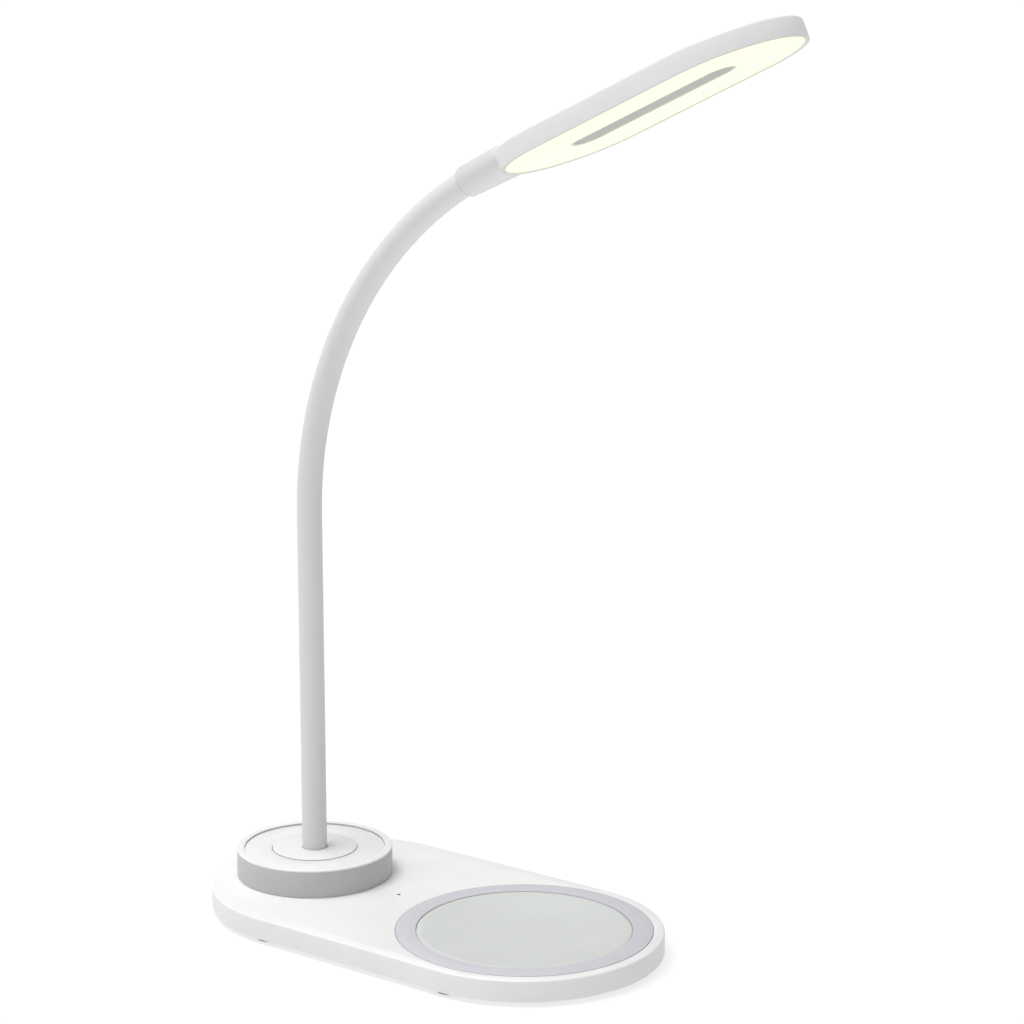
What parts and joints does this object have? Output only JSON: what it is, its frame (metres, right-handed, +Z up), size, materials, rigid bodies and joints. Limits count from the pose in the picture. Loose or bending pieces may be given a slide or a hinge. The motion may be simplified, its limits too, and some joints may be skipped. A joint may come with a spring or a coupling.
{
  "type": "desk lamp",
  "caption": "Desk lamp with a round-ended base, a recessed charging pad, a round touch control, a flexible neck and a slim slotted light head.",
  "frame": {"origin": "middle of the bounding box's underside, on the table", "axes": "+Z up, +X from the neck's foot towards the charging pad and the head's tip, +Y across the base"},
  "size_m": [0.2625, 0.11, 0.3667],
  "materials": {
    "shell_white": "satin moulded plastic, white",
    "cover_grey": "fine-textured moulded plastic",
    "foot_rubber": "matt dark grey rubber",
    "steel": "zinc-plated steel",
    "board_green": "solder-masked circuit board",
    "copper": "enamelled copper winding",
    "ferrite": "sintered ferrite",
    "pad_ring_grey": "matt lavender-grey plastic",
    "pad_disc_grey": "fine-grained matt plastic",
    "lens_clear": "clear light pipe",
    "puck_grey": "satin moulded plastic, grey",
    "dish_grey": "satin plastic",
    "touch_white": "satin touch surface",
    "sleeve_white": "matt white silicone",
    "collar_white": "satin moulded plastic",
    "head_white": "satin moulded plastic, white",
    "diffuser_cream": "frosted diffuser lit from behind",
    "acrylic": "clear acrylic plate",
    "reflector_white": "white reflector film",
    "led_yellow": "phosphor light strip"
  },
  "bodies": {
    "base": {"base_shell": "shell_white", "base_cover": "cover_grey", "rubber_feet": "foot_rubber", "base_screws": "steel", "ballast_plate": "steel", "charging_board": "board_green", "charging_coil": "copper", "ferrite_disc": "ferrite", "pad_ring": "pad_ring_grey", "pad_disc": "pad_disc_grey", "status_lens": "lens_clear", "jack_board": "board_green", "power_jack": "steel", "puck_housing": "puck_grey", "puck_bezel": "shell_white", "dish_plate": "dish_grey", "touch_disc": "touch_white", "touch_board": "board_green", "neck_socket": "steel", "neck_nut": "steel", "neck_sleeve_foot": "sleeve_white", "neck_core_foot": "steel"},
    "link_1": {"neck_sleeve_1": "sleeve_white", "neck_core_1": "steel"},
    "link_2": {"neck_sleeve_2": "sleeve_white", "neck_core_2": "steel"},
    "link_3": {"neck_sleeve_3": "sleeve_white", "neck_core_3": "steel"},
    "link_4": {"neck_sleeve_4": "sleeve_white", "neck_core_4": "steel"},
    "link_5": {"neck_sleeve_5": "sleeve_white", "neck_core_5": "steel"},
    "link_6": {"neck_sleeve_6": "sleeve_white", "neck_core_6": "steel"},
    "link_7": {"neck_sleeve_7": "sleeve_white", "neck_core_7": "steel"},
    "head": {"neck_sleeve_end": "sleeve_white", "neck_core_end": "steel", "collar_insert": "steel", "neck_collar": "collar_white", "collar_screws": "steel", "head_cover": "head_white", "head_diffuser": "diffuser_cream", "light_guide": "acrylic", "reflector_sheet": "reflector_white", "led_strip": "led_yellow"}
  },
  "joints": [
    {"name": "neck_lower_bend", "type": "hinge", "parent": "base", "child": "link_1", "pos_m": [-0.09345, 0, 0.0614], "axis": [0, 1, 0], "range_deg": [-20, 12]},
    {"name": "neck_side_bend", "type": "hinge", "parent": "link_1", "child": "link_2", "pos_m": [-0.09345, 0, 0.0951], "axis": [1, 0, 0], "range_deg": [-15, 15]},
    {"name": "neck_lower_bend_2", "type": "hinge", "parent": "link_2", "child": "link_3", "pos_m": [-0.09345, 0, 0.1288], "axis": [0, 1, 0], "range_deg": [-20, 12]},
    {"name": "neck_side_bend_2", "type": "hinge", "parent": "link_3", "child": "link_4", "pos_m": [-0.09345, 0, 0.1625], "axis": [1, 0, 0], "range_deg": [-15, 15]},
    {"name": "neck_upper_bend", "type": "hinge", "parent": "link_4", "child": "link_5", "pos_m": [-0.08988, 0, 0.19595], "axis": [0, 1, 0], "range_deg": [-25, 18]},
    {"name": "neck_side_bend_3", "type": "hinge", "parent": "link_5", "child": "link_6", "pos_m": [-0.07932, 0, 0.22788], "axis": [0.9107, 0, -0.4131], "range_deg": [-15, 15]},
    {"name": "neck_upper_bend_2", "type": "hinge", "parent": "link_6", "child": "link_7", "pos_m": [-0.06225, 0, 0.25686], "axis": [0, 1, 0], "range_deg": [-25, 18]},
    {"name": "head_tilt", "type": "hinge", "parent": "link_7", "child": "head", "pos_m": [-0.03944, 0, 0.28158], "axis": [0, 1, 0], "range_deg": [-25, 25]}
  ],
  "couplings": [
    {"joint": "neck_lower_bend_2", "follows": "neck_lower_bend", "ratio": 1},
    {"joint": "neck_side_bend_2", "follows": "neck_side_bend", "ratio": 1},
    {"joint": "neck_side_bend_3", "follows": "neck_side_bend", "ratio": 1},
    {"joint": "neck_upper_bend_2", "follows": "neck_upper_bend", "ratio": 1}
  ]
}
